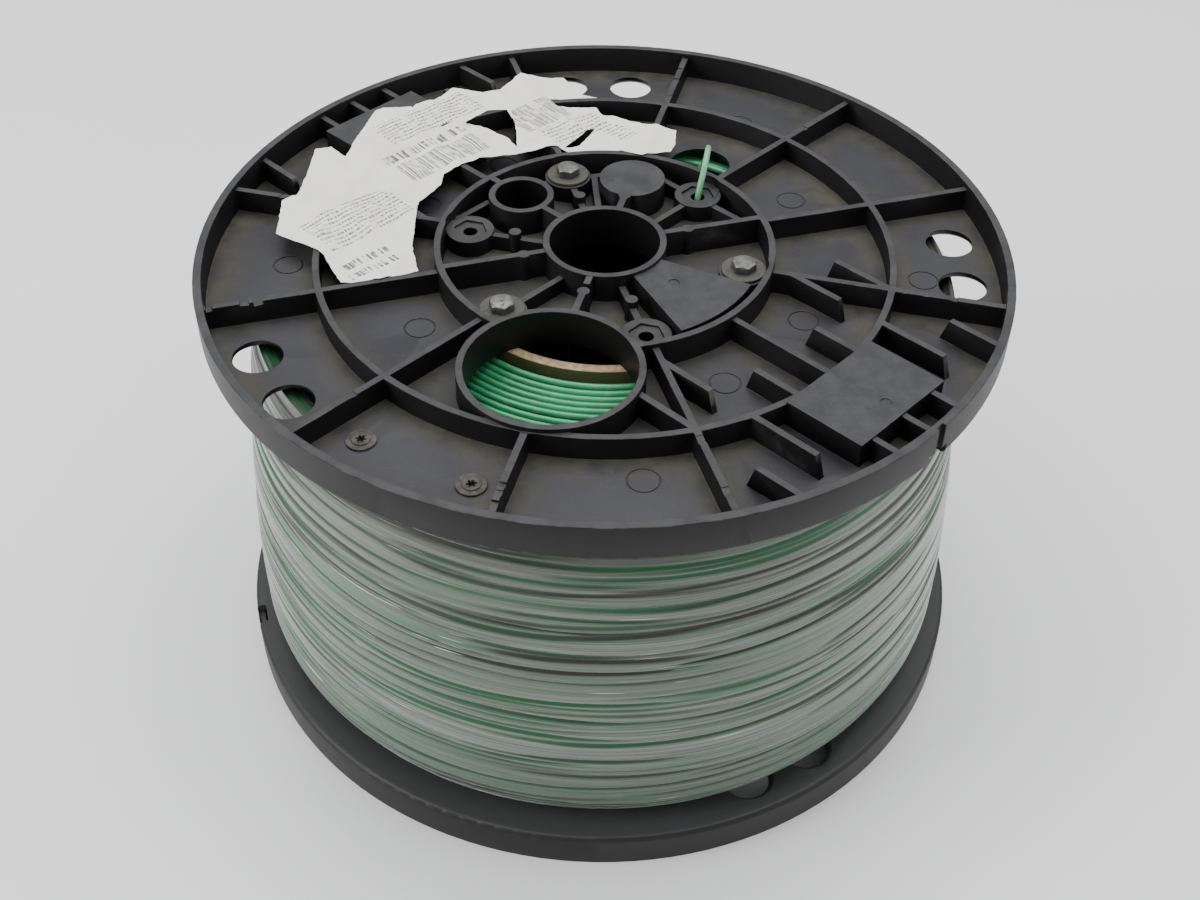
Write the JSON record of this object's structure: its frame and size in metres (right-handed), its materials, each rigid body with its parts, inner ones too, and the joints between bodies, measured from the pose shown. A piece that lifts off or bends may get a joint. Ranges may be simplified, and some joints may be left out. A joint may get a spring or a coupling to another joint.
{
  "type": "wire spool",
  "caption": "Plastic reel of green building wire: two ribbed round flanges bolted over a fibre drum, the winding wrapped in clear stretch film.",
  "frame": {"origin": "on the arbor's axis, at the bottom rim's face that the reel stands on", "axes": "+Z along the arbor axis, from the flange that it stands on to the top flange; -Y towards the top flange's big round window, +X to the right when the window is seen in front"},
  "size_m": [0.4064, 0.4064, 0.2519],
  "materials": {
    "flange_plastic": "black injection moulding, semi-matt, dusty",
    "fibreboard": "raw spiral-wound paper fibreboard",
    "zinc_steel": "zinc-plated, dull",
    "rivet_plastic": "black moulded, dusty",
    "wire_jacket": "green wire jacket, satin to glossy",
    "clear_film": "stretch-wrap film in many layers, milky and creased",
    "label_paper": "matt paper label, torn and wrinkled"
  },
  "bodies": {
    "root": {"top_flange": "flange_plastic", "bottom_flange": "flange_plastic", "drum_tube": "fibreboard", "tie_bolts": "zinc_steel", "head_washers": "zinc_steel", "flange_nuts": "zinc_steel", "plate_rivets": "rivet_plastic", "wire_core": "wire_jacket", "end_turns": "wire_jacket", "outer_turns": "wire_jacket", "stretch_film": "clear_film", "wire_tail": "wire_jacket", "upper_label": "label_paper", "lower_label": "label_paper"}
  },
  "joints": []
}
